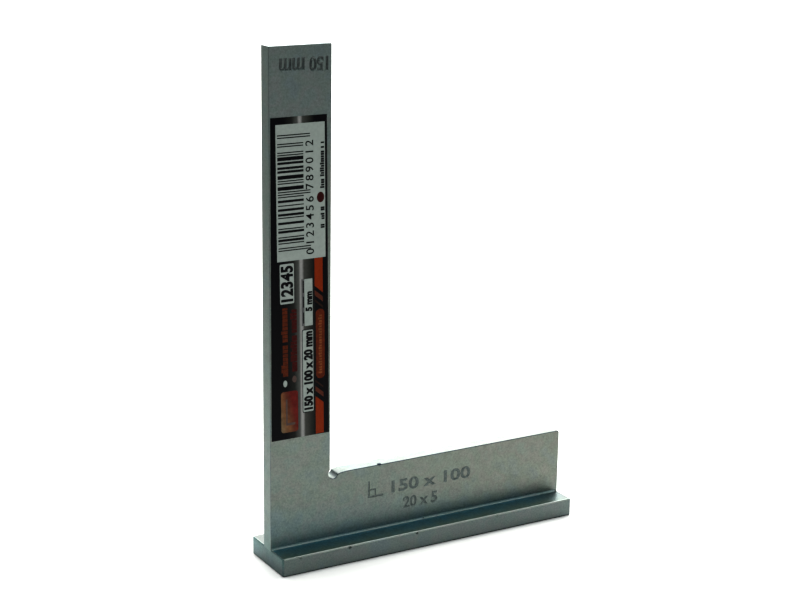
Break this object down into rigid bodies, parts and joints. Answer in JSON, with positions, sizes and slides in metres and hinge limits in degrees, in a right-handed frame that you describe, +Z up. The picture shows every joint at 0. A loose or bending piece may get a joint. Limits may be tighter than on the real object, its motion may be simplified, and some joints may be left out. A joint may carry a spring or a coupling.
{
  "type": "steel square with foot",
  "caption": "Workshop steel square: a flat L-shaped blade with a right angle and a corner relief, standing on a wider flat foot bar.",
  "frame": {"origin": "middle of the foot's underside", "axes": "+Z up along the upright, +X along the base arm away from the upright, -Y the labelled side"},
  "size_m": [0.1, 0.02, 0.15],
  "materials": {
    "plated_steel": "satin zinc plating, fine grain",
    "pin_steel": "ground flush, satin",
    "printed_label": "printed film, semi-gloss"
  },
  "bodies": {
    "root": {"blade": "plated_steel", "foot": "plated_steel", "foot_pin_1": "pin_steel", "foot_pin_2": "pin_steel", "foot_pin_3": "pin_steel", "foot_pin_4": "pin_steel", "label": "printed_label"}
  },
  "joints": []
}
